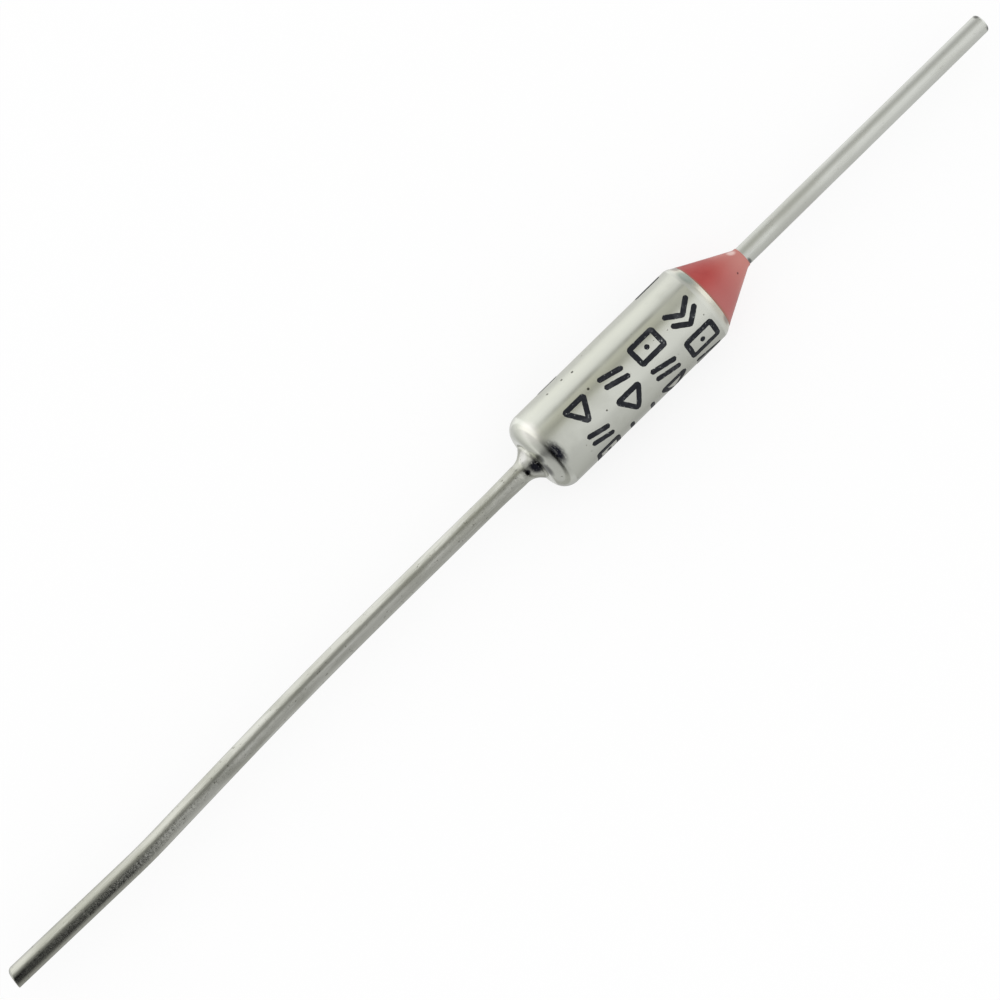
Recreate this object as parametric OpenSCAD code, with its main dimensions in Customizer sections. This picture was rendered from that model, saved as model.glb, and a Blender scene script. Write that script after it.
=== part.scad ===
// Axial thermal cutoff with a sealed metal case and two round wire leads.
// Millimetres. +X runs along the case towards the sealed end, +Z is up.
// The origin is on the case's axis, midway between the closed end and the lip.

/* [Case] */
// Outside diameter of the drawn case
case_d = 4.2; // [3.6:0.1:5]
// Length from the closed end to the edge of the rolled lip
case_l = 11.3; // [10.8:0.1:14]
// Wall thickness along the bore
case_wall = 0.25; // [0.2:0.01:0.32]
// Thickness of the closed end
end_wall = 0.5; // [0.4:0.01:0.6]
// Depth of the seat pressed into the closed end for the shoulder
seat_depth = 0.2; // [0.1:0.01:0.25]
// Outside radius of the closed end's drawn corner
corner_r = 0.85; // [0.6:0.05:1]
// Wall thickness of the thinned mouth that holds the bushing
mouth_wall = 0.15; // [0.1:0.01:0.18]
// Outside bend radius where the mouth is rolled inwards
roll_r = 0.6; // [0.4:0.05:0.8]
// Angle between the rolled lip and the case's axis
lip_angle = 31; // [31:1:34]
// Length of the rolled lip along the axis
lip_l = 0.7; // [0.6:0.02:1]

/* [Leads] */
// Diameter of both wire leads
lead_d = 1; // [0.8:0.05:1.2]
// Diameter of the shoulder that bears on the closed end
shoulder_d = 1.95; // [1.7:0.05:2.3]
// Length of the shoulder's straight collar
shoulder_l = 0.3; // [0.22:0.01:0.5]
// Half angle of the shoulder's cone
shoulder_angle = 52; // [40:1:58]
// Radius that blends the shoulder into the wire, less where the cone is too short for it
shoulder_blend_r = 1.1; // [0.5:0.1:1.6]
// Diameter of the tenon riveted through the closed end
tenon_d = 0.9; // [0.6:0.05:1.1]
// Diameter of the rivet head inside the case
rivet_d = 1.9; // [1.6:0.05:2.4]
// Thickness of the rivet head
rivet_t = 0.25; // [0.15:0.01:0.4]
// Straight stretch of the case lead next to the closed end
near_run = 9; // [4:0.5:14]
// Length of the slow bow in the case lead
bow_l = 11; // [6:0.5:14]
// Angle turned over the bow
bow_angle = 2.15; // [1:0.05:8]
// Straight stretch between the bow and the kink
middle_run = 4.6; // [2:0.1:8]
// Length of the kink in the case lead
kink_l = 2; // [1:0.1:4]
// Angle turned back at the kink
kink_angle = 3.15; // [1:0.05:10]
// Straight stretch at the free end of the case lead
end_run = 7.3; // [4:0.1:14]
// Slant of the sheared end of the case lead
cut_angle = 7; // [2:1:15]
// Length of the isolated lead beyond the lip
isolated_lead_l = 18.8; // [12:0.1:40]
// Edge radius at the free end of the isolated lead
tip_r = 0.15; // [0.05:0.01:0.3]
// Diameter of the isolated lead's contact head
head_d = 1.6; // [1.3:0.05:1.8]
// Thickness of the contact head
head_t = 0.4; // [0.25:0.05:0.6]
// Chamfer round the contact head's face
head_edge = 0.1; // [0.05:0.01:0.15]

/* [Pellet] */
// Length of the thermal pellet
pellet_l = 2.8; // [2.2:0.1:3.4]
// Gap between the pellet and the bore
pellet_gap = 0.12; // [0.06:0.01:0.25]
// Chamfer on both edges of the pellet
pellet_edge = 0.3; // [0.15:0.01:0.4]
// Thickness of the two pressure discs
disc_t = 0.2; // [0.15:0.01:0.3]
// Gap between the discs and the bore
disc_gap = 0.1; // [0.05:0.01:0.3]

/* [Springs] */
// Wire diameter of the main spring
main_wire_d = 0.38; // [0.3:0.01:0.42]
// Turns of the main spring
main_turns = 6; // [4:1:7]
// Mean coil diameter at the ends of the main spring
main_end_d = 2.4; // [2:0.05:2.8]
// Gap between the main spring's widest coil and the bore
main_gap = 0.1; // [0.05:0.01:0.25]
// Wire diameter of the trip spring
trip_wire_d = 0.2; // [0.15:0.01:0.22]
// Turns of the trip spring
trip_turns = 3; // [2:1:3]
// Gap between the trip spring and the bushing's spigot
trip_gap = 0.08; // [0.04:0.01:0.15]
// Least gap between neighbouring turns
turn_gap = 0.04; // [0.02:0.01:0.06]

/* [Star contact] */
// Sheet thickness of the sliding star contact
star_t = 0.12; // [0.08:0.01:0.16]
// Diameter of the star's flat middle
star_flat_d = 2.6; // [2.3:0.05:2.9]
// Distance the fingers reach along the bore
finger_rise = 0.5; // [0.3:0.05:0.7]
// Number of fingers
finger_count = 8; // [5:1:10]
// Width of the slots between the fingers
finger_slot = 0.36; // [0.2:0.02:0.5]
// Depth of the slots into the star's flat middle
slot_depth = 0.2; // [0.1:0.01:0.3]

/* [Bushing and seal] */
// Length of the ceramic bushing's body
bushing_l = 2.3; // [1.8:0.1:2.8]
// Diameter of the spigot inside the trip spring
spigot_d = 1.7; // [1.4:0.05:1.9]
// Length of the spigot
spigot_l = 0.6; // [0.5:0.05:0.9]
// Depth of the bushing's outer face inside the lip
seal_depth = 0.45; // [0.3:0.01:0.6]
// Half angle of the resin cone
seal_angle = 26.7; // [20:0.1:35]
// Radius where the resin creeps up the lead
seal_blend_r = 0.3; // [0.2:0.05:1.2]
// Thickness of the resin's edge on the lead
seal_film = 0.03; // [0.02:0.01:0.06]
// Width of bare lip edge left around the resin
lip_edge = 0.03; // [0.02:0.01:0.1]
// Clearance at seats, holes and sliding faces
seat_clear = 0.01; // [0.005:0.005:0.03]

/* [Hidden] */
$fn = 64;
past = 1;
coil_steps = 20;
coil_sides = 8;
ground_share = 0.25;
bow_steps = 10;
kink_steps = 4;
wire_sides = 32;
tuck_l = 0.5;
tuck_step = 0.002;

case_r = case_d / 2;
bore_r = case_r - case_wall;
lead_r = lead_d / 2;
tenon_r = tenon_d / 2;
inner_corner_r = max(corner_r - end_wall, case_wall);
seat_edge_r = 0.9 * seat_depth;
shoulder_r = shoulder_d / 2;
collar_blend_r = min(shoulder_blend_r, 0.95 * (shoulder_r - lead_r) / (1 - cos(shoulder_angle)));

// Stations along the axis, from the closed end to the free end of the isolated lead
x_end = -case_l / 2;
x_seat = x_end + seat_depth;
x_collar = x_seat - shoulder_l;
x_floor = x_end + end_wall;
x_rivet = x_floor + rivet_t;
x_pellet = x_rivet + pellet_l;
x_lip = case_l / 2;
x_roll = x_lip - lip_l;
x_bushing = x_lip - seal_depth;
x_step = x_bushing - bushing_l;
x_spigot = x_step - spigot_l;
x_head = x_spigot - head_t;
x_star = x_head - star_t;
x_contact_disc = x_star - disc_t;
x_spring = x_pellet + disc_t;
x_tip = x_lip + isolated_lead_l;

// The rolled lip: an arc about roll_centre, then a straight stretch at lip_angle
roll_centre = [case_r - roll_r, x_roll];
lip_out = [cos(lip_angle), sin(lip_angle)];
lip_along = [-sin(lip_angle), cos(lip_angle)];
lip_run = (lip_l - roll_r * sin(lip_angle)) / cos(lip_angle);

// Places along the case lead, each [distance from the closed end, offset, heading]
near_end = [near_run, 0, 0];
bow_end = onward(near_end, bow_l, bow_angle);
middle_end = onward(bow_end, middle_run, 0);
kink_end = onward(middle_end, kink_l, -kink_angle);

// Where a wire is after a stretch l that turns evenly by an angle
function onward(place, l, turn) =
  let (chord = turn == 0 ? l : l * sin(turn / 2) / (turn * PI / 360), way = place[2] + turn / 2)
  [place.x + chord * cos(way), place.y + chord * sin(way), place[2] + turn];

function lip_end(inset) = roll_centre + (roll_r - inset) * lip_out + lip_run * lip_along;

// Height of a cone that narrows from foot_r to top_r, and what its blend into the wire adds
function cone_l(foot_r, top_r, angle) = (foot_r - top_r) / tan(angle);
function blend_l(blend_r, angle) = blend_r * tan(angle / 2);

// Solid of revolution about the X axis; a profile has the radius across and the station up
module turned() {
  rotate([0, 90, 0]) rotate_extrude() children();
}

module band(r, x0, x1) {
  translate([0, x0]) square([r, x1 - x0]);
}

// What a drawn corner takes off a square one at radius r and station x0
module corner_cut(r, x0, round_r) {
  difference() {
    translate([r - round_r, x0 - past]) square([round_r + past, round_r + past]);
    translate([r - round_r, x0 + round_r]) circle(round_r);
  }
}

// What the shoulder's seat takes out of the closed end, with a rounded edge
module seat_cut() {
  r = shoulder_r + seat_clear;
  band(r, x_end - past, x_seat);
  difference() {
    band(r + seat_edge_r, x_end - past, x_end + seat_edge_r);
    translate([r + seat_edge_r, x_end + seat_edge_r]) circle(seat_edge_r);
  }
}

// Half section of everything inside the rolled mouth, drawn inset from the outside surface
module rolled_section(inset, x0) {
  bend = roll_r - inset;
  tip = lip_end(inset);
  polygon([[0, x0], [case_r - inset, x0], [case_r - inset, x_roll],
    roll_centre + bend * lip_out, tip, [0, tip.y]]);
  intersection() {
    translate(roll_centre) circle(bend);
    polygon([roll_centre, roll_centre + [2 * bend, 0], roll_centre + 2 * bend * lip_out]);
  }
}

// Space in front of the lip's cut edge
module mouth_opening() {
  tip = lip_end(0);
  polygon([[0, x_roll], lip_end(mouth_wall), tip, tip + [0, past], [0, tip.y + past]]);
}

// Half section of a cone that stands on station 0 and blends into a wire of radius top_r
module flare(foot_r, top_r, angle, blend_r) {
  reach = blend_l(blend_r, angle);
  corner = [top_r, cone_l(foot_r, top_r, angle)];
  top = corner + [0, reach];
  difference() {
    polygon([[0, 0], [foot_r, 0], corner + reach * [sin(angle), -cos(angle)], top, [0, top.y]]);
    translate(top + [blend_r, 0]) circle(blend_r);
  }
}

// Straight wire along +X
module run(l) {
  rotate([0, 90, 0]) cylinder(h = l, r = lead_r);
}

function ring_middle(ring) = [for (point = ring) 1] * ring / len(ring);

// Solid swept through a list of rings, each with as many points
module swept(rings) {
  sides = len(rings[0]);
  last = len(rings) - 1;
  function at(i, j) = i * sides + j % sides;
  walls = [for (i = [0:last - 1], j = [0:sides - 1])
    [at(i, j), at(i, j + 1), at(i + 1, j + 1), at(i + 1, j)]];
  middles = [ring_middle(rings[0]), ring_middle(rings[last])];
  foot = len(rings) * sides;
  caps = [for (j = [0:sides - 1])
    each [[foot, at(0, j + 1), at(0, j)], [foot + 1, at(last, j), at(last, j + 1)]]];
  points = [for (ring = rings, point = ring) point];
  polyhedron(concat(points, middles), concat(walls, caps), convexity = 10);
}

// Compression spring along +Z from 0 to l, with close end turns ground flat
module coil(l, wire_d, turns, end_r, middle_r) {
  wire_r = wire_d / 2;
  start = ground_share * wire_d;
  close = wire_d + turn_gap;
  open = (l - 2 * start - 2 * close) / (turns - 2);
  function lift(t) = t < 1 ? start + close * t
    : t > turns - 1 ? l - start - close * (turns - t)
    : start + close + open * (t - 1);
  function coil_r(t) = end_r + (middle_r - end_r) * sin(180 * t / turns);
  function wire_point(t, a) =
    let (r = coil_r(t) + wire_r * cos(a), z = min(max(lift(t) + wire_r * sin(a), 0), l))
    [r * cos(360 * t), r * sin(360 * t), z];
  swept([for (i = [0:turns * coil_steps])
    [for (j = [0:coil_sides - 1]) wire_point(i / coil_steps, 360 * j / coil_sides)]]);
}

module case() {
  color("gainsboro") turned() difference() {
    rolled_section(0, x_end);
    corner_cut(case_r, x_end, corner_r);
    seat_cut();
    difference() {
      band(bore_r, x_floor, x_step + past);
      corner_cut(bore_r, x_floor, inner_corner_r);
    }
    rolled_section(mouth_wall, x_step);
    mouth_opening();
    band(tenon_r + seat_clear, x_end - past, x_floor + past);
  }
}

module case_lead() {
  color("darkgray") union() {
    turned() {
      band(lead_r, x_end - near_run, x_seat);
      translate([0, x_collar]) mirror([0, 1]) flare(shoulder_r, lead_r, shoulder_angle, collar_blend_r);
      band(shoulder_r, x_collar, x_seat);
      band(tenon_r, x_seat, x_floor);
      band(rivet_d / 2, x_floor, x_rivet);
    }
    translate([x_end, 0, 0]) rotate([0, 0, 180]) {
      bent_run();
      translate([kink_end.x, kink_end.y, 0]) rotate([0, 0, kink_end[2]]) sheared_run(end_run);
    }
  }
}

// Bowed and kinked wire between the two straight runs, tucked into both of them
module bent_run() {
  r = lead_r - tuck_step;
  function ring(place) = [for (j = [0:wire_sides - 1])
    let (a = -360 * j / wire_sides, across = r * cos(a))
    [place.x - across * sin(place[2]), place.y + across * cos(place[2]), r * sin(a)]];
  function stretch(place, l, turn, steps) =
    [for (i = [0:steps]) ring(onward(place, l * i / steps, turn * i / steps))];
  swept(concat(
    [ring(onward(near_end, -tuck_l, 0))],
    stretch(near_end, bow_l, bow_angle, bow_steps),
    stretch(middle_end, kink_l, -kink_angle, kink_steps),
    [ring(onward(kink_end, tuck_l, 0))]));
}

// Straight wire whose far end is sheared off at a slant
module sheared_run(l) {
  difference() {
    run(l + lead_d);
    translate([l, 0, 0]) rotate([0, 0, -cut_angle]) translate([0, -lead_d, -lead_d]) cube(2 * lead_d);
  }
}

module pellet() {
  r = bore_r - pellet_gap;
  color("lightsteelblue") turned() polygon([
    [0, x_rivet], [r - pellet_edge, x_rivet], [r, x_rivet + pellet_edge],
    [r, x_pellet - pellet_edge], [r - pellet_edge, x_pellet], [0, x_pellet]]);
}

module pellet_disc() {
  color("silver") turned() band(bore_r - disc_gap, x_pellet, x_spring);
}

module main_spring() {
  wire_r = main_wire_d / 2;
  color("slategray") translate([x_spring, 0, 0]) rotate([0, 90, 0])
    coil(x_contact_disc - x_spring, main_wire_d, main_turns, main_end_d / 2, bore_r - main_gap - wire_r);
}

module contact_disc() {
  color("silver") turned() band(bore_r - disc_gap, x_contact_disc, x_star);
}

module star_contact() {
  flat_r = star_flat_d / 2;
  tip_r = bore_r - seat_clear;
  color("lightgray") difference() {
    turned() polygon([[0, x_star], [flat_r, x_star], [tip_r, x_star + finger_rise],
      [tip_r, x_star + finger_rise + star_t], [tip_r - star_t, x_star + finger_rise + star_t],
      [flat_r - star_t, x_head], [0, x_head]]);
    for (i = [0:finger_count - 1]) rotate([360 * i / finger_count, 0, 0])
      translate([x_star - past, -finger_slot / 2, flat_r - slot_depth])
        cube([finger_rise + star_t + 2 * past, finger_slot, case_r]);
  }
}

module trip_spring() {
  coil_r = spigot_d / 2 + trip_gap + trip_wire_d / 2;
  color("goldenrod") translate([x_head, 0, 0]) rotate([0, 90, 0])
    coil(x_step - x_head, trip_wire_d, trip_turns, coil_r, coil_r);
}

module ceramic_bushing() {
  color("ivory") turned() difference() {
    union() {
      intersection() {
        rolled_section(mouth_wall + seat_clear, x_step);
        band(case_r, x_step, x_bushing);
      }
      band(spigot_d / 2, x_spigot, x_step);
    }
    band(lead_r + seat_clear, x_spigot - past, x_bushing + past);
  }
}

module isolated_lead() {
  color("lightgray") turned() difference() {
    union() {
      polygon([[0, x_head], [head_d / 2 - head_edge, x_head], [head_d / 2, x_head + head_edge],
        [head_d / 2, x_spigot], [0, x_spigot]]);
      band(lead_r, x_spigot, x_tip);
    }
    mirror([0, 1]) corner_cut(lead_r, -x_tip, tip_r);
  }
}

module epoxy_seal() {
  inside = mouth_wall + seat_clear;
  rim = lip_end(0) + seat_clear * lip_along - lip_edge * lip_out;
  foot = lip_end(inside) + seat_clear * lip_along;
  color("indianred") turned() difference() {
    union() {
      intersection() {
        rolled_section(inside, x_step);
        band(case_r, x_bushing, x_lip);
      }
      polygon([[0, x_bushing], lip_end(inside), foot, rim, [0, rim.y]]);
      translate([0, rim.y]) flare(rim.x, lead_r + seal_film, seal_angle, seal_blend_r);
    }
    band(lead_r + seat_clear, x_step, x_tip);
  }
}

case();
case_lead();
pellet();
pellet_disc();
main_spring();
contact_disc();
star_contact();
trip_spring();
ceramic_bushing();
isolated_lead();
epoxy_seal();
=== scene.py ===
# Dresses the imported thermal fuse: plated case, tinned leads, resin seal and printed marks
import math

import bmesh
import bpy
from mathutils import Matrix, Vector


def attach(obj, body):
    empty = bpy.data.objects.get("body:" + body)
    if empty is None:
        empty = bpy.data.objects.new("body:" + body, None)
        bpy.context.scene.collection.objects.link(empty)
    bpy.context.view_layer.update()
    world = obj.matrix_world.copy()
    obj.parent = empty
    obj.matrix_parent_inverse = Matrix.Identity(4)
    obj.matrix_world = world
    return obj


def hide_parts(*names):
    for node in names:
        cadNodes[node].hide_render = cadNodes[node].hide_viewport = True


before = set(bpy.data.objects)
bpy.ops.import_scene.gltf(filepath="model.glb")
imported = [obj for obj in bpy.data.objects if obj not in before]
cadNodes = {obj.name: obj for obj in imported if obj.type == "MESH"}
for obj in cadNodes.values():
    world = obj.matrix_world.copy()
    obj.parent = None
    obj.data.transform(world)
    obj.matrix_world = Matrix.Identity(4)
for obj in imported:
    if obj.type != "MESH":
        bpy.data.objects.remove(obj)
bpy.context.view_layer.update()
scene = bpy.context.scene
mm = 0.001
print("frame loaded:", len(cadNodes), "nodes")


def addNode(tree, kind, inputs=None, **settings):
    node = tree.nodes.new(kind)
    for key, value in settings.items():
        setattr(node, key, value)
    for key, value in (inputs or {}).items():
        if isinstance(value, bpy.types.NodeSocket):
            tree.links.new(value, node.inputs[key])
        else:
            node.inputs[key].default_value = value
    return node


def maths(tree, operation, a, b=0.0, c=0.0, clamp=False):
    node = addNode(tree, "ShaderNodeMath", {0: a, 1: b, 2: c}, operation=operation, use_clamp=clamp)
    return node.outputs[0]


def vectorMaths(tree, operation, inputs, output=0):
    return addNode(tree, "ShaderNodeVectorMath", inputs, operation=operation).outputs[output]


def mixColour(tree, share, under, over):
    return addNode(tree, "ShaderNodeMix", {0: share, 6: under, 7: over}, data_type="RGBA").outputs[2]


def span(tree, value, low, high, toLow=0.0, toHigh=1.0):
    inputs = {"Value": value, "From Min": low, "From Max": high, "To Min": toLow, "To Max": toHigh}
    return addNode(tree, "ShaderNodeMapRange", inputs, interpolation_type="SMOOTHSTEP").outputs[0]


def noiseAt(tree, coords, scale, detail, roughness):
    inputs = {"Vector": coords, "Scale": scale, "Detail": detail, "Roughness": roughness}
    return addNode(tree, "ShaderNodeTexNoise", inputs).outputs[0]


def placed(tree, coords, scale, turn=(0, 0, 0)):
    return addNode(tree, "ShaderNodeMapping", {"Vector": coords, "Scale": scale, "Rotation": turn}).outputs[0]


def split(tree, coords):
    return addNode(tree, "ShaderNodeSeparateXYZ", {0: coords}).outputs


def nearness(tree, coords, centre, inner, outer):
    away = vectorMaths(tree, "DISTANCE", {0: coords, 1: centre}, "Value")
    return span(tree, away, outer, inner)


def blot(tree, coords, centre, reach, inner=0.4):
    scale = [1 / r for r in reach]
    middle = [c * k for c, k in zip(centre, scale)]
    return nearness(tree, placed(tree, coords, scale), middle, inner, 1.0)


def join(tree, pairs):
    for source, target in pairs:
        tree.links.new(source, target)


def newMaterial(name):
    material = bpy.data.materials.new(name)
    material.use_nodes = True
    tree = material.node_tree
    shader = tree.nodes["Principled BSDF"]
    coords = addNode(tree, "ShaderNodeTexCoord").outputs["Object"]
    return material, tree, shader, placed(tree, coords, (1000, 1000, 1000))  # coordinates in millimetres


# In each finish, patterns are noises: stretch, scale, detail, roughness. A layer has its pattern, where it
# begins, where it is full, the most it covers and its colour. A blot has colour, most, centre and reach.
# Rough has a pattern, its span, smoothest and roughest. Bump has a pattern, strength and depth in mm.
def makePatterns(tree, coords, look):
    made = {}
    for name, (stretch, scale, detail, roughness) in look["patterns"].items():
        made[name] = noiseAt(tree, placed(tree, coords, stretch), scale, detail, roughness)
    return made


def layered(tree, tone, patterns, look):
    wear = look.get("wear", 1.0)
    for pattern, low, high, most, colour in look["layers"]:
        share = span(tree, patterns[pattern], low, high, 0, most * wear)
        tone = mixColour(tree, share, tone, look[colour])
    return tone


def blotted(tree, coords, tone, blots, look):
    for colour, most, centre, reach in blots:
        share = maths(tree, "MULTIPLY", blot(tree, coords, centre, reach), most)
        tone = mixColour(tree, share, tone, look[colour])
    return tone


def finishShader(tree, shader, tone, patterns, look):
    pattern, low, high, smooth, coarse = look["rough"]
    rough = span(tree, patterns[pattern], low, high, smooth, coarse)
    join(tree, [(tone, shader.inputs["Base Color"]), (rough, shader.inputs["Roughness"])])
    if "bump" in look:
        pattern, strength, depth = look["bump"]
        strength *= look.get("wear", 1.0)
        inputs = {"Height": patterns[pattern], "Strength": strength, "Distance": depth * mm}
        bump = addNode(tree, "ShaderNodeBump", inputs)
        join(tree, [(bump.outputs[0], shader.inputs["Normal"])])


def meshPiece(name, shape, material, sharpAngle):
    mesh = bpy.data.meshes.new(name)
    shape.to_mesh(mesh)
    shape.free()
    mesh.shade_smooth()
    mesh.set_sharp_from_angle(angle=math.radians(sharpAngle))
    mesh.materials.append(material)
    piece = bpy.data.objects.new(name, mesh)
    scene.collection.objects.link(piece)
    return piece


def skinRings(name, rings, closed, material, sharpAngle=40):
    shape = bmesh.new()
    rows = [[shape.verts.new(Vector(point) * mm) for point in ring] for ring in rings]
    following = rows[1:] + rows[:1] if closed else rows[1:]
    for near, far in zip(rows, following):
        sides = max(len(near), len(far))
        for i in range(sides):
            k = (i + 1) % sides
            if len(near) == 1:
                shape.faces.new((near[0], far[k], far[i]))
            elif len(far) == 1:
                shape.faces.new((near[i], near[k], far[0]))
            else:
                shape.faces.new((near[i], near[k], far[k], far[i]))
    bmesh.ops.recalc_face_normals(shape, faces=shape.faces)
    return meshPiece(name, shape, material, sharpAngle)


def turnedPoint(x, r, a):
    return (x, r * math.sin(a), r * math.cos(a))


def turnedRing(x, r, sides):
    if r == 0:
        return [(x, 0, 0)]
    return [turnedPoint(x, r, 2 * math.pi * i / sides) for i in range(sides)]


def turnedRings(profile, sides):
    return [turnedRing(x, r, sides) for x, r in profile]


def arc(x, r, radius, start, end, steps):
    turns = [math.radians(start + (end - start) * i / steps) for i in range(steps + 1)]
    return [(x + radius * math.cos(a), r + radius * math.sin(a)) for a in turns]


# a cone that runs out into a wire: the hollow curve between them, ending at x
def blendArc(x, r, blend, slope, steps):
    turns = [slope * (1 - i / steps) for i in range(steps + 1)]
    return [(x - blend * math.sin(a), r + blend * (1 - math.cos(a))) for a in turns]


def seat(piece, node):
    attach(piece, "root")
    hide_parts(node)


# case: plated can with a pressed seat on the closed end and a mouth rolled over the resin
caseShape = {
    "endX": -5.65, "lipX": 5.65, "radius": 2.1, "boreRadius": 1.85, "mouthRadius": 1.95,
    "cornerRadius": 0.85, "cornerSteps": 28, "innerCorner": 0.35, "innerSteps": 8,
    "floorX": -5.15, "stepX": 2.9,
    "seatX": -5.45, "seatRadius": 0.985, "seatEdge": 0.18, "seatSteps": 10, "holeRadius": 0.46,
    "rollRadius": 0.6, "rollX": 4.95, "rollSteps": 14, "lipAngle": 31, "mouthWall": 0.15,
    "stations": (-3.6, -2.4, -1.2, 0, 1.2, 2.4, 3.6), "sides": 256,
}
caseFinish = {
    # bright is the colour of a painted highlight on the corner of the closed end
    "plating": (0.80, 0.816, 0.745, 1), "dull": (0.68, 0.69, 0.61, 1), "bright": (0.98, 0.97, 0.91, 1),
    # paintedLipReflection is the colour of a painted dark, brownish reflection on the lip's sides
    "brassy": (0.80, 0.74, 0.58, 1), "haze": (0.34, 0.40, 0.36, 1), "paintedLipReflection": (0.47, 0.41, 0.36, 1),
    # sootAndShade darkens a real smudge on the corner and is also painted shade by the shoulder
    "sootAndShade": (0.018, 0.019, 0.028, 1), "speck": (0.09, 0.085, 0.07, 1),
    "patterns": {
        "drawn": ((0.12, 5, 5), 1.6, 4, 0.6),  # faint lines along the draw
        "clouds": ((1, 1, 1), 0.55, 3, 0.55),
        "specks": ((1, 1, 1), 5.5, 2, 0.5),
    },
    "layers": [
        ("clouds", 0.52, 0.72, 0.35, "dull"), ("drawn", 0.55, 0.78, 0.22, "dull"),
        ("specks", 0.735, 0.775, 0.7, "speck"), ("along", 5.0, 5.4, 0.5, "brassy"),
    ],
    "rough": ("clouds", 0.3, 0.75, 0.13, 0.26), "bump": ("drawn", 0.05, 0.02),
    "speckCore": 0.4,
    "specks": [  # station, arc from the top, size
        (-1.57, -1.76, 0.09), (-2.17, -1.91, 0.08), (-3.12, -1.89, 0.07),
        (-1.7, -0.39, 0.09), (-1.77, 0.95, 0.06),
    ],
    "patches": [  # colour, most, station and arc from the top, reach along and round
        # the bright patch is a painted highlight on the closed end's corner
        ("bright", 1.0, (-5.02, -0.94), (0.5, 0.98)), ("haze", 0.8, (5.32, -1.12), (0.32, 0.82)),
    ],
    "blots": [
        # painted reflection: darker, browner sides of the rolled lip
        ("paintedLipReflection", 1.0, (5.42, 1.7, 0.9), (0.28, 0.34, 0.6)),
        ("paintedLipReflection", 1.0, (5.42, -1.68, 0.9), (0.28, 0.4, 0.6)),
        # painted shade: the shoulder's shadow on the closed end and the shadowed crease at its foot
        ("sootAndShade", 0.7, (-5.55, -0.30, 1.62), (0.22, 0.36, 0.34)),
        ("sootAndShade", 0.7, (-5.62, -0.85, 1.2), (0.2, 0.6, 0.6)),
    ],
    "smudge": {
        "place": (-4.82, 0.7), "reach": (0.44, 0.92), "inner": 0.3, "corePower": 2.0, "coreLevel": 0.86,
        "stretch": (9, 3.4, 3.4), "turn": (0, 0, 0.25), "streaks": (1.3, 5, 0.75), "ragged": (0.34, 0.5),
    },
}


def lipPoint(can, inset):
    a = math.radians(can["lipAngle"])
    run = (can["lipX"] - can["rollX"] - can["rollRadius"] * math.sin(a)) / math.cos(a)
    bend = can["rollRadius"] - inset
    return (can["rollX"] + bend * math.sin(a) + run * math.cos(a),
            can["radius"] - can["rollRadius"] + bend * math.cos(a) - run * math.sin(a))


def rollArc(can, inset):
    centre = can["radius"] - can["rollRadius"]
    return arc(can["rollX"], centre, can["rollRadius"] - inset, 90, 90 - can["lipAngle"], can["rollSteps"])


def caseProfile(can):
    radius, corner, edge = can["radius"], can["cornerRadius"], can["seatEdge"]
    outside = [(can["seatX"], can["holeRadius"]), (can["seatX"], can["seatRadius"])]
    outside += arc(can["endX"] + edge, can["seatRadius"] + edge, edge, 270, 180, can["seatSteps"])
    outside += arc(can["endX"] + corner, radius - corner, corner, 180, 90, can["cornerSteps"])
    outside += [(x, radius) for x in can["stations"]]
    outside += rollArc(can, 0) + [lipPoint(can, 0), lipPoint(can, can["mouthWall"])]
    inside = rollArc(can, can["mouthWall"])[::-1]
    inside += [(can["stepX"], can["mouthRadius"]), (can["stepX"], can["boreRadius"])]
    bend = can["innerCorner"]
    inside += arc(can["floorX"] + bend, can["boreRadius"] - bend, bend, 90, 180, can["innerSteps"])
    return outside + inside + [(can["floorX"], can["holeRadius"])]


def onCase(can, x, s):
    turn = s / can["radius"]
    return (x, -can["radius"] * math.sin(turn), can["radius"] * math.cos(turn))


# solid in the middle, scratchy towards its edge
def smudged(tree, coords, tone, look, can):
    smudge = look["smudge"]
    reach, girth = smudge["reach"]
    streaks = noiseAt(tree, placed(tree, coords, smudge["stretch"], smudge["turn"]), *smudge["streaks"])
    spread = blot(tree, coords, onCase(can, *smudge["place"]), (reach, girth, girth), smudge["inner"])
    edge = maths(tree, "MULTIPLY", spread, span(tree, streaks, *smudge["ragged"]))
    core = maths(tree, "POWER", spread, smudge["corePower"])
    core = maths(tree, "MULTIPLY", core, smudge["coreLevel"])
    return mixColour(tree, maths(tree, "MAXIMUM", edge, core), tone, look["sootAndShade"])


def platedMaterial(look, can):
    material, tree, shader, coords = newMaterial("platedCase")
    patterns = makePatterns(tree, coords, look)
    patterns["along"] = split(tree, coords)["X"]
    tone = layered(tree, look["plating"], patterns, look)
    for x, s, size in look["specks"]:
        dot = nearness(tree, coords, onCase(can, x, s), size * look["speckCore"], size)
        tone = mixColour(tree, dot, tone, look["speck"])
    # apart from the haze, these patches and blots paint a highlight, reflections and shade onto the plating
    blots = []
    for colour, most, place, (reach, girth) in look["patches"]:
        blots.append((colour, most, onCase(can, *place), (reach, girth, girth)))
    tone = blotted(tree, coords, tone, blots + look["blots"], look)
    tone = smudged(tree, coords, tone, look, can)
    finishShader(tree, shader, tone, patterns, look)
    shader.inputs["Metallic"].default_value = 1
    return material


plated = platedMaterial(caseFinish, caseShape)
case = skinRings("platedCase", turnedRings(caseProfile(caseShape), caseShape["sides"]), True, plated)
seat(case, "case")
print("case:", len(case.data.polygons), "faces")


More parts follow.
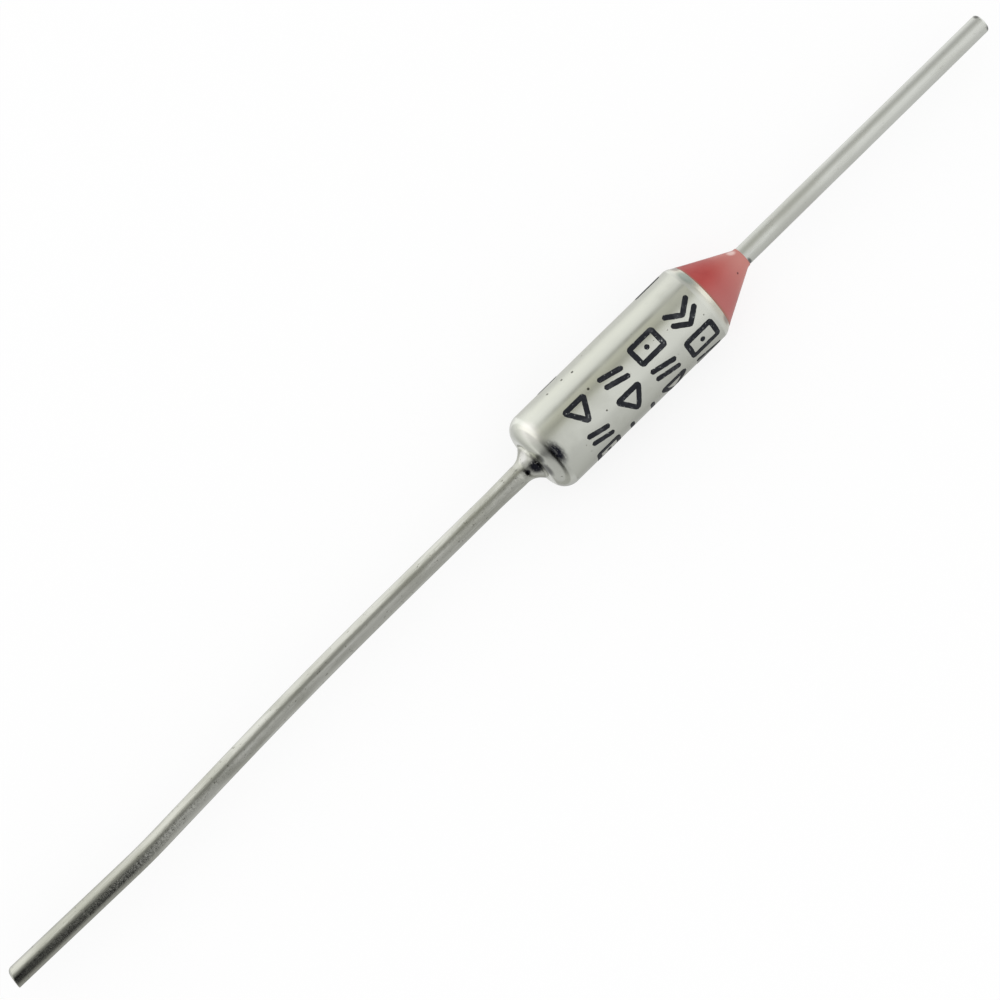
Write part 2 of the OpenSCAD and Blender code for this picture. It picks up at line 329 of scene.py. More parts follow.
# long lead: shoulder seated on the closed end, a slow bow, a kink and a sheared tip
leadShape = {
    "endX": -5.65, "seatX": -5.45, "floorX": -5.15, "tenonRadius": 0.45,
    "rivetX": -4.9, "rivetRadius": 0.95, "rivetRings": (0, 0.7, 0.9), "rivetEdge": 0.04,
    "radius": 0.5, "shoulder": 0.975, "shoulderAngle": 52, "blend": 1.1, "blendSteps": 18,
    "collar": 0.3, "collarBreak": [(-0.03, 0), (0.01, 0.02)],  # how far past the collar's end, drop
    "swell": 0.04, "swellFrom": 0.75, "swellRise": 0.45, "swellFull": 1.2, "swellFade": 1.5,
    "swellStations": (1.4, 1.7, 2.0, 2.4, 2.8), "near": 9, "nearStations": (4, 6, 8),
    "bow": 11, "bowAngle": 2.15, "middle": 4.6, "kink": 2, "kinkAngle": 3.15, "far": 7.3, "tipBack": 0.6,
    "steps": (24, 4, 12, 6),  # in the bow, the middle, the kink and the far stretch
    "cutAngle": 7, "tipRound": 0.25, "tipEdge": 0.03, "tipSteps": 10,
    "faceRadius": 0.2, "faceRise": 0.008, "tipDome": 0.01, "sides": 96,
}
tinBase = {
    "patterns": {
        "strands": ((0.35, 7, 7), 1.4, 5, 0.62),  # scratches along the wire
        "pits": ((0.7, 1, 1), 6.5, 3, 0.6),
        "clouds": ((0.25, 1, 1), 1.1, 3, 0.5),
    },
    "layers": [
        ("clouds", 0.4, 0.68, 0.75, "worn"), ("strands", 0.54, 0.72, 0.6, "worn"),
        ("strands", 0.46, 0.3, 0.5, "bright"), ("pits", 0.63, 0.72, 0.75, "pit"),
    ],
    "patchy": (0.28, 0.44), "relief": {"strands": 0.6, "pits": -0.8}, "bump": ("relief", 0.3, 0.03),
}
longFinish = {
    **tinBase, "name": "tinnedLong", "wear": 1.0, "rough": ("clouds", 0.3, 0.7, 0.08, 0.23),
    "tin": (0.69, 0.695, 0.635, 1), "worn": (0.51, 0.515, 0.45, 1), "pit": (0.22, 0.22, 0.18, 1),
    "bright": (0.78, 0.79, 0.74, 1), "sootAndShade": (0.02, 0.021, 0.028, 1), "paintedHighlight": (0.99, 0.985, 0.95, 1),
    "marks": [  # colour, centre, reach
        # painted shade and dark reflections, with some smudge, on the shoulder
        ("sootAndShade", (-5.84, -0.36, 0.78), (0.46, 0.5, 0.5)), ("sootAndShade", (-6.25, -0.25, 0.52), (0.18, 0.18, 0.2)),
        # painted highlight on the left of the shoulder
        ("paintedHighlight", (-5.92, 0.42, 0.62), (0.5, 0.36, 0.36)),
    ],
}


def onward(place, length, turn=0.0):
    x, y, heading = place
    half = math.radians(turn / 2)
    chord = length if turn == 0 else length * math.sin(half) / half
    way = math.radians(heading + turn / 2)
    return (x + chord * math.cos(way), y + chord * math.sin(way), heading + turn)


def placesAlong(start, length, turn, steps, picks):
    return [onward(start, length * i / steps, turn * i / steps) for i in picks]


def sideAngles(wire):
    return [2 * math.pi * i / wire["sides"] + math.pi / 2 for i in range(wire["sides"])]


# outline holds an angle, a radius and a reach ahead for each side
def leadRing(wire, place, outline):
    x, y, heading = place
    c, k = math.cos(math.radians(heading)), math.sin(math.radians(heading))
    ring = []
    for a, r, reach in outline:
        across = r * math.cos(a)
        along = x + reach * c - across * k
        aside = y + reach * k + across * c
        ring.append((wire["endX"] - along, -aside, r * math.sin(a)))
    return ring


def swell(wire, l):
    rise = min(1.0, max(0.0, (l - wire["swellFrom"]) / wire["swellRise"]))
    return wire["swell"] * rise * max(0.0, 1 - max(0.0, l - wire["swellFull"]) / wire["swellFade"])


def shoulderRings(wire):
    slope = math.radians(wire["shoulderAngle"])
    cone = (wire["shoulder"] - wire["radius"]) / math.tan(slope)
    top = wire["collar"] + cone + wire["blend"] * math.tan(slope / 2)
    flare = [(0, wire["shoulder"])]
    flare += [(wire["collar"] + past, wire["shoulder"] - drop) for past, drop in wire["collarBreak"]]
    flare += blendArc(top, wire["radius"], wire["blend"], slope, wire["blendSteps"])
    flare += [(l, wire["radius"]) for l in wire["swellStations"]]
    return [turnedRing(wire["seatX"] - l, r + swell(wire, l), wire["sides"]) for l, r in flare]


def tipRings(wire, tip):
    slant = math.tan(math.radians(wire["cutAngle"]))
    angles = sideAngles(wire)
    rings = []
    for i in range(wire["tipSteps"] + 1):
        b = math.pi / 2 * i / wire["tipSteps"]
        outline = []
        for a in angles:
            edge = wire["tipEdge"] + (wire["tipRound"] - wire["tipEdge"]) * ((1 - math.cos(a)) / 2) ** 2
            r = wire["radius"] - edge * (1 - math.cos(b))
            outline.append((a, r, r * math.cos(a) * slant - edge * (1 - math.sin(b))))
        rings.append(leadRing(wire, tip, outline))
    r = wire["faceRadius"]
    rings.append(leadRing(wire, tip, [(a, r, r * math.cos(a) * slant + wire["faceRise"]) for a in angles]))
    return rings + [[(wire["endX"] - tip[0] - wire["tipDome"], -tip[1], 0)]]


def leadRings(wire):
    rivet = [(wire["rivetX"], r) for r in wire["rivetRings"]]
    rivet += [(x, wire["rivetRadius"]) for x in (wire["rivetX"] - wire["rivetEdge"], wire["floorX"])]
    rivet += [(x, wire["tenonRadius"]) for x in (wire["floorX"], wire["seatX"])]
    nearEnd = (wire["near"], 0, 0)
    bowEnd = onward(nearEnd, wire["bow"], wire["bowAngle"])
    middleEnd = onward(bowEnd, wire["middle"])
    kinkEnd = onward(middleEnd, wire["kink"], -wire["kinkAngle"])
    bowSteps, middleSteps, kinkSteps, farSteps = wire["steps"]
    places = [(l, 0, 0) for l in wire["nearStations"]]
    places += placesAlong(nearEnd, wire["bow"], wire["bowAngle"], bowSteps, range(bowSteps + 1))
    places += placesAlong(bowEnd, wire["middle"], 0, middleSteps, range(1, middleSteps))
    places += placesAlong(middleEnd, wire["kink"], -wire["kinkAngle"], kinkSteps, range(kinkSteps + 1))
    places += placesAlong(kinkEnd, wire["far"], 0, farSteps, range(1, farSteps - 1))
    places.append(onward(kinkEnd, wire["far"] - wire["tipBack"]))
    plain = [(a, wire["radius"], 0.0) for a in sideAngles(wire)]
    rings = turnedRings(rivet, wire["sides"]) + shoulderRings(wire)
    rings += [leadRing(wire, place, plain) for place in places]
    return rings + tipRings(wire, onward(kinkEnd, wire["far"]))


def tinnedMaterial(look):
    material, tree, shader, coords = newMaterial(look["name"])
    patterns = makePatterns(tree, coords, look)
    tone = layered(tree, look["tin"], patterns, look)
    patchy = span(tree, patterns["pits"], *look["patchy"])
    # the marks paint shade, dark reflections, highlights and a few darker spots onto the tin, broken up by
    # the pits
    for colour, centre, reach in look["marks"]:
        mark = maths(tree, "MULTIPLY", blot(tree, coords, centre, reach), patchy)
        tone = mixColour(tree, mark, tone, look[colour])
    heights = [maths(tree, "MULTIPLY", patterns[name], level) for name, level in look["relief"].items()]
    patterns["relief"] = maths(tree, "ADD", *heights)
    finishShader(tree, shader, tone, patterns, look)
    shader.inputs["Metallic"].default_value = 1
    return material


longLead = skinRings("longLead", leadRings(leadShape), False, tinnedMaterial(longFinish))
seat(longLead, "case_lead")
print("long lead:", len(longLead.data.polygons), "faces")


# short lead: contact head inside the bushing, straight wire, rounded cut end
shortShape = {
    "headX": 1.9, "headRadius": 0.8, "headEdge": 0.1, "spigotX": 2.3, "radius": 0.5,
    "stations": (6, 8, 10, 12, 14, 16, 18, 20, 22, 24), "tipX": 24.45, "tipRound": 0.15, "dome": 0.02,
    "roundTo": 8, "roundSteps": 10, "faceDrop": 0.006, "faceRadius": 0.18, "sides": 96,
}
shortFinish = {
    **tinBase, "name": "tinnedShort", "wear": 0.5, "rough": ("clouds", 0.3, 0.7, 0.19, 0.34),
    "tin": (0.76, 0.775, 0.725, 1), "worn": (0.63, 0.64, 0.57, 1), "pit": (0.42, 0.42, 0.37, 1),
    "bright": (0.82, 0.83, 0.79, 1), "sootAndShade": (0.22, 0.22, 0.21, 1),
    "marks": [
        # a painted shadow where the resin meets the wire, then two darker spots at the tip's corners
        ("sootAndShade", (8.29, -0.42, 0.25), (0.14, 0.3, 0.3)), ("sootAndShade", (24.34, 0.34, 0.3), (0.2, 0.22, 0.3)),
        ("sootAndShade", (24.38, -0.42, 0.2), (0.16, 0.18, 0.3)),
    ],
}


def shortProfile(wire):
    head, edge, radius, bend = wire["headRadius"], wire["headEdge"], wire["radius"], wire["tipRound"]
    points = [(wire["headX"], 0), (wire["headX"], head - edge)]
    points += [(wire["headX"] + edge, head), (wire["spigotX"], head)]
    points += [(x, radius) for x in (wire["spigotX"], *wire["stations"])]
    bendX = wire["tipX"] - wire["dome"] - bend
    points += arc(bendX, radius - bend, bend, 90, wire["roundTo"], wire["roundSteps"])
    return points + [(wire["tipX"] - wire["faceDrop"], wire["faceRadius"]), (wire["tipX"], 0)]


rings = turnedRings(shortProfile(shortShape), shortShape["sides"])
shortLead = skinRings("shortLead", rings, False, tinnedMaterial(shortFinish))
seat(shortLead, "isolated_lead")
print("short lead:", len(shortLead.data.polygons), "faces")


# resin seal: cone poured over the mouth, creeping up the wire
sealShape = {
    "bushingX": 5.2, "bushingRadius": 1.85, "holeRadius": 0.51, "insideGap": 0.16, "lipLift": 0.002,
    "lipEdge": -0.015, "clear": 0.01, "film": 0.53, "angle": 27.3, "blend": 0.5, "blendSteps": 12,
    "stations": (0, 0.3, 0.6, 0.9, 1.2, 1.5, 1.8), "skirt": 0.21, "skirtSway": 0.04,
    "skirtRows": [(0.001, 1), (0.008, 0.97), (0.013, 0.6)],  # lift off the lip, share of the skirt
    "sides": 192,
}
sealFinish = {
    "red": (0.43, 0.047, 0.040, 1), "deep": (0.37, 0.030, 0.026, 1), "paintedSheen": (0.43, 0.115, 0.105, 1),
    "pale": (0.53, 0.20, 0.17, 1), "rim": (0.31, 0.12, 0.08, 1), "paintedHighlight": (0.75, 0.52, 0.48, 1),
    "speck": (0.10, 0.02, 0.02, 1), "speckAt": (7.38, -0.5, 0.78), "speckSize": (0.03, 0.08), "ior": 1.5,
    "patterns": {"clouds": ((1, 1, 1), 1.1, 3, 0.5)},
    "layers": [
        # the across layer paints a sheen, paler and pinker towards the -Y side
        ("clouds", 0.35, 0.7, 0.6, "deep"), ("across", 0.5, -1.1, 1.0, "paintedSheen"),
        # the first along layer paints a sheen, paler towards the wire; the second darkens the rim
        ("along", 6.1, 8.3, 1.0, "pale"), ("along", 5.6, 5.5, 0.8, "rim"),
    ],
    # painted highlight where the resin meets the wire
    "blots": [("paintedHighlight", 1.0, (7.85, 0.42, 0.42), (0.32, 0.26, 0.26))],
    "rough": ("clouds", 0.3, 0.7, 0.32, 0.44), "bump": ("clouds", 0.1, 0.05),
}


def skirtRing(resin, can, lift, share):
    lean = math.radians(can["lipAngle"])
    x, r = lipPoint(can, -lift)
    ring = []
    for i in range(resin["sides"]):
        a = 2 * math.pi * i / resin["sides"]
        back = share * (resin["skirt"] - resin["skirtSway"] * math.sin(a))  # longer on the -Y side
        ring.append(turnedPoint(x - back * math.cos(lean), r + back * math.sin(lean), a))
    return ring


def underProfile(resin, can):
    points = [(resin["bushingX"], resin["holeRadius"]), (resin["bushingX"], resin["bushingRadius"])]
    return points + [lipPoint(can, resin["insideGap"]), lipPoint(can, -resin["lipLift"])]


def coneProfile(resin, can):
    slope, lip = math.radians(resin["angle"]), math.radians(can["lipAngle"])
    edgeX, edgeRadius = lipPoint(can, resin["lipEdge"])
    rimX, rimRadius = edgeX + resin["clear"] * math.cos(lip), edgeRadius - resin["clear"] * math.sin(lip)
    top = (rimRadius - resin["film"]) / math.tan(slope) + resin["blend"] * math.tan(slope / 2)
    points = [(rimX + l, rimRadius - l * math.tan(slope)) for l in resin["stations"]]
    points += blendArc(rimX + top, resin["film"], resin["blend"], slope, resin["blendSteps"])
    return points + [(rimX + top, resin["holeRadius"])]


def resinMaterial(look):
    material, tree, shader, coords = newMaterial("redResin")
    patterns = makePatterns(tree, coords, look)
    part = split(tree, coords)
    patterns["along"], patterns["across"] = part["X"], part["Y"]
    # besides clouding and the rim, the layers paint sheen on the resin, and the blots paint a highlight
    tone = layered(tree, look["red"], patterns, look)
    tone = blotted(tree, coords, tone, look["blots"], look)
    speck = nearness(tree, coords, look["speckAt"], *look["speckSize"])
    tone = mixColour(tree, speck, tone, look["speck"])
    finishShader(tree, shader, tone, patterns, look)
    shader.inputs["IOR"].default_value = look["ior"]
    return material


rings = turnedRings(underProfile(sealShape, caseShape), sealShape["sides"])
rings += [skirtRing(sealShape, caseShape, lift, share) for lift, share in sealShape["skirtRows"]]
rings += turnedRings(coneProfile(sealShape, caseShape), sealShape["sides"])
seal = skinRings("resinSeal", rings, True, resinMaterial(sealFinish))
seat(seal, "epoxy_seal")
print("seal:", len(seal.data.polygons), "faces")


# printed marks: four rows of plain shapes round the case, as a thin film of ink
inkShape = {
    "radius": 2.096, "film": 0.012, "fuzz": 0.05, "grain": 4.5, "spacing": 0.05, "corner": 0.05,
    "stroke": 0.27, "start": -0.47, "gap": 0.3, "hatchLean": 0.42, "chevronReach": 0.5,
    "rows": [  # low and high station, then the shapes in order round the case
        (2.96, 4.80, ["chevrons", "target", "hatch", "triangle", "dashes", "target", "chevrons", "bar"]),
        (0.79, 2.48, ["target", "hatch", "triangle", "dashes", "chevrons"]),
        (-1.29, 0.31, ["hatch", "triangle", "dashes", "target", "chevrons"]),
        (-3.46, -1.95, ["triangle", "hatch", "target", "dashes", "chevrons", "triangle", "hatch", "bar"]),
    ],
    "widths": {"triangle": 1.3, "target": 1.2, "hatch": 1.1, "chevrons": 1.4, "dashes": 0.9, "bar": 0.66},
}
inkInputs = ("Radius", "Film", "Stroke", "Corner", "Spacing", "Fuzz", "Grain")
inkFinish = {
    "ink": (0.012, 0.014, 0.019, 1), "thin": (0.10, 0.105, 0.11, 1), "worn": (0.42, 0.43, 0.41, 1),
    "patterns": {"holes": ((1, 1, 1), 7.0, 3, 0.65), "patches": ((1, 1, 1), 1.6, 2, 0.5)},
    "layers": [
        ("holes", 0.58, 0.70, 0.9, "thin"), ("patches", 0.55, 0.8, 0.4, "thin"),
        ("holes", 0.66, 0.72, 1.0, "worn"),
    ],
    "rough": ("holes", 0.3, 0.7, 0.39, 0.55), "specular": 0.2,
}


def markStrokes(inkSet, kind, low, high, left):
    half = inkSet["stroke"] / 2
    a, b = low + half, high - half
    l, r = left + half, left + inkSet["widths"][kind] - half
    m, n = (a + b) / 2, (l + r) / 2
    if kind == "triangle":
        return [([(l, a), (r, m), (l, b)], True)]
    if kind == "target":  # square with a dot in it
        return [([(l, a), (r, a), (r, b), (l, b)], True), ([(n, m - half), (n, m + half)], False)]
    if kind == "hatch":  # two slanted bars
        lean = (r - l) * inkSet["hatchLean"]
        return [([(l, a), (l + lean, b)], False), ([(r - lean, a), (r, b)], False)]
    if kind == "chevrons":  # one inside the other
        reach = (r - l) * inkSet["chevronReach"]
        return [([(u, a), (u + reach, m), (u, b)], False) for u in (l, n)]
    if kind == "bar":  # along the case
        return [([(n, a), (n, b)], False)]
    return [([(l, v), (r, v)], False) for v in (a, b)]  # dashes


def strokeMesh(inkSet):
    shape = bmesh.new()
    for low, high, marks in inkSet["rows"]:
        left = inkSet["start"]
        for kind in marks:
            for points, looped in markStrokes(inkSet, kind, low, high, left):
                verts = [shape.verts.new((u, v, 0)) for u, v in points]
                links = list(zip(verts, verts[1:])) + ([(verts[-1], verts[0])] if looped else [])
                for pair in links:
                    shape.edges.new(pair)
            left += inkSet["widths"][kind] + inkSet["gap"]
    mesh = bpy.data.meshes.new("inkStrokes")
    shape.to_mesh(mesh)
    shape.free()
    return mesh


def step(tree, kind, inputs=None, output=0, **settings):
    return addNode(tree, "GeometryNode" + kind, inputs, **settings).outputs[output]


# half the stroke along its length, with rounded ends on open strokes only
def strokeScale(tree, stroke):
    half = maths(tree, "MULTIPLY", stroke, 0.5)
    gone = step(tree, "SplineParameter", output="Length")
    total = step(tree, "SplineLength", output="Length")
    toEnd = maths(tree, "MINIMUM", gone, maths(tree, "SUBTRACT", total, gone))
    loop = step(tree, "InputSplineCyclic")
    inset = maths(tree, "SUBTRACT", 1.0, maths(tree, "DIVIDE", toEnd, half), clamp=True)
    taper = maths(tree, "SQRT", maths(tree, "SUBTRACT", 1.02, maths(tree, "MULTIPLY", inset, inset)))
    taper = maths(tree, "MAXIMUM", maths(tree, "MINIMUM", taper, 1.0), loop)
    return maths(tree, "MULTIPLY", half, taper)


# shifts the flat strokes a little in their plane
def raggedPush(tree, at, grain, fuzz):
    noise = addNode(tree, "ShaderNodeTexNoise", {"Vector": at, "Scale": grain, "Detail": 2.0})
    shift = vectorMaths(tree, "SUBTRACT", {0: noise.outputs["Color"], 1: (0.5, 0.5, 0.5)})
    apart = split(tree, shift)
    push = addNode(tree, "ShaderNodeCombineXYZ", {"X": apart["X"], "Y": apart["Y"]}).outputs[0]
    return vectorMaths(tree, "SCALE", {0: push, "Scale": fuzz})


# rolls the flat strokes round the case, in metres
def wrappedPlace(tree, at, radius):
    flat = split(tree, at)
    turn = maths(tree, "DIVIDE", flat["X"], radius)
    scaled = maths(tree, "MULTIPLY", radius, mm)
    place = {
        "X": maths(tree, "MULTIPLY", flat["Y"], mm),
        "Y": maths(tree, "MULTIPLY", maths(tree, "SINE", turn), maths(tree, "MULTIPLY", scaled, -1.0)),
        "Z": maths(tree, "MULTIPLY", maths(tree, "COSINE", turn), scaled),
    }
    return addNode(tree, "ShaderNodeCombineXYZ", place).outputs[0]


def inkTree():
    tree = bpy.data.node_groups.new("inkFilm", "GeometryNodeTree")
    face = tree.interface
    face.new_socket("Geometry", in_out="INPUT", socket_type="NodeSocketGeometry")
    for name in inkInputs:
        face.new_socket(name, in_out="INPUT", socket_type="NodeSocketFloat")
    face.new_socket("Ink", in_out="INPUT", socket_type="NodeSocketMaterial")
    face.new_socket("Geometry", in_out="OUTPUT", socket_type="NodeSocketGeometry")
    given = addNode(tree, "NodeGroupInput").outputs
    lines = step(tree, "MeshToCurve", {0: given["Geometry"]})
    bent = step(tree, "FilletCurve", {"Curve": lines, "Count": 6, "Radius": given["Corner"]}, mode="POLY")
    fine = step(tree, "ResampleCurve", {"Curve": bent, "Length": given["Spacing"]}, mode="LENGTH")
    flat = step(tree, "SetCurveNormal", {"Curve": fine}, mode="Z_UP")
    line = step(tree, "CurvePrimitiveLine", {"Start": (-1, 0, 0), "End": (1, 0, 0)})
    across = step(tree, "ResampleCurve", {"Curve": line, "Count": 7}, mode="COUNT")
    scale = strokeScale(tree, given["Stroke"])
    ribbon = step(tree, "CurveToMesh", {"Curve": flat, "Profile Curve": across, "Scale": scale})
    at = step(tree, "InputPosition")
    push = raggedPush(tree, at, given["Grain"], given["Fuzz"])
    rough = step(tree, "SetPosition", {"Geometry": ribbon, "Offset": push})
    place = wrappedPlace(tree, at, given["Radius"])
    wrapped = step(tree, "SetPosition", {"Geometry": rough, "Position": place})
    outward = vectorMaths(tree, "NORMALIZE", {0: vectorMaths(tree, "MULTIPLY", {0: at, 1: (0, 1, 1)})})
    film = maths(tree, "MULTIPLY", given["Film"], mm)
    lifted = {"Mesh": wrapped, "Offset": outward, "Offset Scale": film, "Individual": False}
    raised = step(tree, "ExtrudeMesh", lifted, mode="FACES")
    under = step(tree, "FlipFaces", {"Mesh": wrapped})
    whole = addNode(tree, "GeometryNodeJoinGeometry")
    join(tree, [(under, whole.inputs[0]), (raised, whole.inputs[0])])
    closed = step(tree, "MergeByDistance", {"Geometry": whole.outputs[0], "Distance": 1e-7})
    real = step(tree, "RealizeInstances", {0: closed})
    inked = step(tree, "SetMaterial", {"Geometry": real, "Material": given["Ink"]})
    addNode(tree, "NodeGroupOutput", {0: inked})
    return tree


def bakeNodes(name, mesh, tree, values):
    piece = bpy.data.objects.new(name, mesh)
    scene.collection.objects.link(piece)
    modifier = piece.modifiers.new("nodes", "NODES")
    modifier.node_group = tree
    for socket in tree.interface.items_tree:
        if socket.in_out == "INPUT" and socket.name in values:
            modifier[socket.identifier] = values[socket.name]
    graph = bpy.context.evaluated_depsgraph_get()
    baked = bpy.data.meshes.new_from_object(piece.evaluated_get(graph), depsgraph=graph)
    piece.modifiers.clear()
    piece.data = baked
    shape = bmesh.new()
    shape.from_mesh(baked)
    bmesh.ops.recalc_face_normals(shape, faces=shape.faces)
    shape.to_mesh(baked)
    shape.free()
    return piece


def inkMaterial(look):
    material, tree, shader, coords = newMaterial("printInk")
    patterns = makePatterns(tree, coords, look)
    finishShader(tree, shader, layered(tree, look["ink"], patterns, look), patterns, look)
    shader.inputs["Specular IOR Level"].default_value = look["specular"]
    return material


inkValues = {name: inkShape[name.lower()] for name in inkInputs}
inkValues["Ink"] = inkMaterial(inkFinish)
ink = bakeNodes("printedMarks", strokeMesh(inkShape), inkTree(), inkValues)
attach(ink, "root")
print("printed marks:", len(ink.data.polygons), "faces")


# inner pieces keep their CAD form and take a finish each
innerFinish = {  # material, dark and light tone, metal or not, roughness, grain
    "pellet": ("pelletPowder", (0.55, 0.62, 0.72, 1), (0.66, 0.72, 0.80, 1), 0, 0.85, 9),
    "pellet_disc": ("blankedDisc", (0.66, 0.60, 0.42, 1), (0.74, 0.70, 0.54, 1), 1, 0.32, 5),
    "contact_disc": ("blankedDiscFront", (0.66, 0.60, 0.42, 1), (0.74, 0.70, 0.54, 1), 1, 0.32, 5),
    "main_spring": ("springWire", (0.38, 0.39, 0.41, 1), (0.52, 0.53, 0.55, 1), 1, 0.3, 6),
    "trip_spring": ("tripWire", (0.38, 0.39, 0.41, 1), (0.52, 0.53, 0.55, 1), 1, 0.3, 8),
    "star_contact": ("silveredSheet", (0.80, 0.80, 0.77, 1), (0.90, 0.89, 0.86, 1), 1, 0.2, 5),
    "ceramic_bushing": ("firedCeramic", (0.82, 0.79, 0.70, 1), (0.90, 0.88, 0.82, 1), 0, 0.6, 7),
}


def innerMaterial(name, dark, light, metal, roughness, grain):
    look = {
        "light": light,
        "patterns": {"speckle": ((1, 1, 1), grain, 4, 0.6)},
        "layers": [("speckle", 0.35, 0.65, 1.0, "light")],
        "rough": ("speckle", 0.3, 0.7, roughness - 0.06, roughness + 0.08),
        "bump": ("speckle", 0.15, 0.04),
    }
    material, tree, shader, coords = newMaterial(name)
    patterns = makePatterns(tree, coords, look)
    finishShader(tree, shader, layered(tree, dark, patterns, look), patterns, look)
    shader.inputs["Metallic"].default_value = metal
    return material


for node, finish in innerFinish.items():
    mesh = cadNodes[node].data
    mesh.materials.clear()
    mesh.materials.append(innerMaterial(*finish))
print("inner pieces:", len(innerFinish))


# stage: white floor, a pale tent seen only in reflections, a white world and the camera
stageSet = {"floorSize": 4.0, "floorZ": -0.0021, "floorWhite": 0.98, "whiten": 0.8, "worldLevel": 1.0}
tentSet = {
    "radius": 0.12, "length": 0.6, "sides": 96, "sharpAngle": 30, "lean": -6.6, "warmGreen": 0.05,
    "zones": {  # degrees from the camera's side towards +Y, light level, warmth
        "case": [
            (-173, 0.45, 0.02), (-131, 0.40, 0.02), (-115, 0.45, 0.02), (-100, 0.50, 0.01), (-80, 0.56, 0.01),
            (-60, 0.59, 0.0), (-53, 0.62, 0.0), (-44, 0.70, 0.0), (-36, 0.74, 0.0), (-14, 0.755, 0.0),
            (2, 0.73, 0.01), (10, 0.67, 0.04), (18, 0.51, 0.09), (26, 0.37, 0.12), (34, 0.43, 0.13),
            (42, 0.51, 0.14), (50, 0.53, 0.12), (55, 0.36, 0.08), (59, 0.36, 0.06), (65, 0.68, 0.02),
            (77, 0.84, 0.02), (98, 0.92, 0.03), (111, 0.87, 0.03), (125, 0.70, 0.02), (146, 0.64, 0.02),
        ],
        "long": [
            (-173, 0.45, 0.0), (-120, 0.56, 0.0), (-102, 0.50, 0.0), (-85, 0.46, 0.0), (-58, 0.44, 0.0),
            (-35, 0.48, 0.0), (-13, 0.54, 0.0), (-3, 0.42, 0.02), (8, 0.31, 0.04), (18, 0.31, 0.05),
            (30, 0.36, 0.05), (40, 0.48, 0.04), (47, 0.68, 0.03), (54, 0.86, 0.02), (64, 0.98, 0.0),
            (80, 1.06, 0.0), (130, 1.06, 0.0), (160, 0.7, 0.0),
        ],
        "far": [
            (-173, 0.38, 0.04), (-110, 0.38, 0.04), (-80, 0.17, 0.05), (-66, 0.02, 0.06), (-54, 0.0, 0.08),
            (-32, 0.0, 0.08), (-12, 0.0, 0.08), (0, 0.04, 0.06), (9, 0.13, 0.06), (20, 0.25, 0.05),
            (30, 0.40, 0.05), (40, 0.68, 0.05), (50, 0.90, 0.04), (76, 1.03, 0.03), (105, 0.98, 0.03),
            (150, 0.6, 0.0),
        ],
        "near": [
            (-173, 0.5, 0.0), (-100, 0.5, 0.0), (-65, 0.48, 0.0), (-48, 0.46, 0.0), (-31, 0.34, 0.0),
            (-15, 0.17, 0.0), (0, 0.19, 0.01), (15, 0.42, 0.01), (31, 0.53, 0.02), (65, 0.62, 0.02),
            (90, 0.8, 0.01), (120, 0.75, 0.02), (160, 0.5, 0.02),
        ],
        "short": [
            (-173, 0.6, 0.0), (-140, 0.60, 0.0), (-106, 0.63, 0.0), (-75, 0.63, 0.0), (-49, 0.73, 0.0),
            (-26, 0.81, 0.0), (-4, 0.82, 0.0), (8, 0.76, 0.0), (17, 0.68, 0.01), (28, 0.59, 0.02),
            (40, 0.51, 0.02), (52, 0.48, 0.02), (64, 0.50, 0.01), (78, 0.60, 0.0), (93, 0.74, 0.0),
            (132, 0.95, 0.0), (160, 0.7, 0.0),
        ],
    },
    "firstZone": "near",  # up to the first bound
    "bounds": [("far", -78, -62), ("long", -33, -28), ("case", 6.5, 9), ("short", 28.5, 31)],  # fades in, mm
}
cameraSet = {
    "aim": (-8.04, -0.197, 0), "azimuth": 44.78, "elevation": 80.77, "distance": 200,
    "focalPixels": 4286, "imagePixels": 1000, "sensor": 36, "clip": (0.005, 20),
}


def stageMaterial(name):
    material = bpy.data.materials.new(name)
    material.use_nodes = True
    material.node_tree.nodes.clear()
    return material, material.node_tree


def makeFloor(s):
    bpy.ops.mesh.primitive_plane_add(size=s["floorSize"], location=(0, 0, s["floorZ"]))
    floor = bpy.context.object
    floor.name = "floor"
    material, tree = stageMaterial("whiteFloor")
    path = addNode(tree, "ShaderNodeLightPath").outputs
    seen = maths(tree, "MAXIMUM", path["Is Camera Ray"], path["Is Glossy Ray"])
    seen = maths(tree, "MAXIMUM", seen, path["Is Transmission Ray"])
    matt = addNode(tree, "ShaderNodeBsdfDiffuse", {"Color": (s["floorWhite"],) * 3 + (1,)})
    glow = addNode(tree, "ShaderNodeEmission", {"Color": (1, 1, 1, 1), "Strength": 1.0})
    share = maths(tree, "MULTIPLY", seen, s["whiten"])
    both = addNode(tree, "ShaderNodeMixShader", {0: share, 1: matt.outputs[0], 2: glow.outputs[0]})
    addNode(tree, "ShaderNodeOutputMaterial", {0: both.outputs[0]})
    floor.data.materials.append(material)
    floor.visible_glossy = False


def zoneRamp(tree, place, t, zone):
    ramp = addNode(tree, "ShaderNodeValToRGB", {0: place})
    stops = ramp.color_ramp.elements
    levels = t["zones"][zone]
    while len(stops) < len(levels):
        stops.new(0.5)
    for stop, (degrees, level, warmth) in zip(stops, levels):
        stop.position = (degrees + t["lean"]) / 360 + 0.5
        stop.color = (level, level * (1 - warmth * t["warmGreen"]), level * (1 - warmth), 1)
    return ramp.outputs[0]


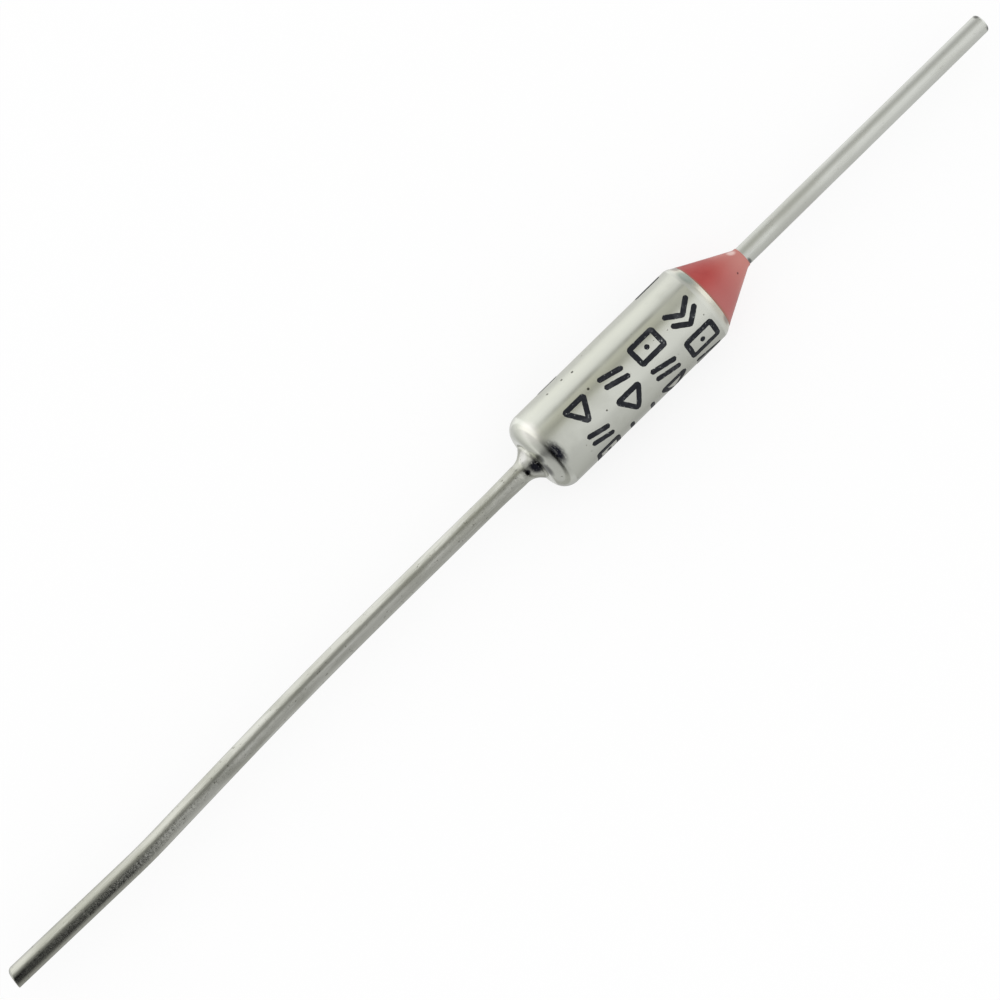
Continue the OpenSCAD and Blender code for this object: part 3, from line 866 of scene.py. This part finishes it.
def makeTent(t):
    shape = bmesh.new()
    half = t["length"] / 2
    rings = turnedRings([(-half, t["radius"]), (half, t["radius"])], t["sides"])
    rows = [[shape.verts.new(point) for point in ring] for ring in rings]
    for i in range(t["sides"]):
        k = (i + 1) % t["sides"]
        shape.faces.new((rows[0][i], rows[1][i], rows[1][k], rows[0][k]))
    shape.faces.new(rows[0])  # closed behind the long lead
    material, tree = stageMaterial("paleTent")
    part = split(tree, addNode(tree, "ShaderNodeTexCoord").outputs["Object"])
    angle = maths(tree, "ARCTAN2", part["Y"], part["Z"])
    place = maths(tree, "MULTIPLY_ADD", angle, 1 / (2 * math.pi), 0.5)
    along = maths(tree, "MULTIPLY", part["X"], 1000)
    colour = zoneRamp(tree, place, t, t["firstZone"])
    for zone, low, high in t["bounds"]:
        colour = mixColour(tree, span(tree, along, low, high), colour, zoneRamp(tree, place, t, zone))
    glow = addNode(tree, "ShaderNodeEmission", {"Color": colour, "Strength": 1.0})
    addNode(tree, "ShaderNodeOutputMaterial", {0: glow.outputs[0]})
    tent = meshPiece("tent", shape, material, t["sharpAngle"])
    tent.visible_camera = tent.visible_diffuse = tent.visible_shadow = False
    tent.visible_transmission = tent.visible_volume_scatter = False


def makeWorld(s):
    world = bpy.data.worlds.new("studio")
    scene.world = world
    world.use_nodes = True
    back = world.node_tree.nodes["Background"]
    back.inputs["Color"].default_value = (1, 1, 1, 1)
    back.inputs["Strength"].default_value = s["worldLevel"]


def makeCamera(c):
    a, e = math.radians(c["azimuth"]), math.radians(c["elevation"])
    back = Vector((-math.sin(a) * math.cos(e), -math.cos(a) * math.cos(e), math.sin(e)))
    data = bpy.data.cameras.new("photoView")
    data.sensor_width = c["sensor"]
    data.lens = c["focalPixels"] * c["sensor"] / c["imagePixels"]
    data.clip_start, data.clip_end = c["clip"]
    camera = bpy.data.objects.new("photoView", data)
    camera.location = (Vector(c["aim"]) + back * c["distance"]) * mm
    camera.rotation_euler = (-back).to_track_quat("-Z", "Y").to_euler()
    scene.collection.objects.link(camera)
    scene.camera = camera


makeFloor(stageSet)
makeTent(tentSet)
makeWorld(stageSet)
makeCamera(cameraSet)
scene.view_settings.view_transform = "Standard"
print("stage ready")
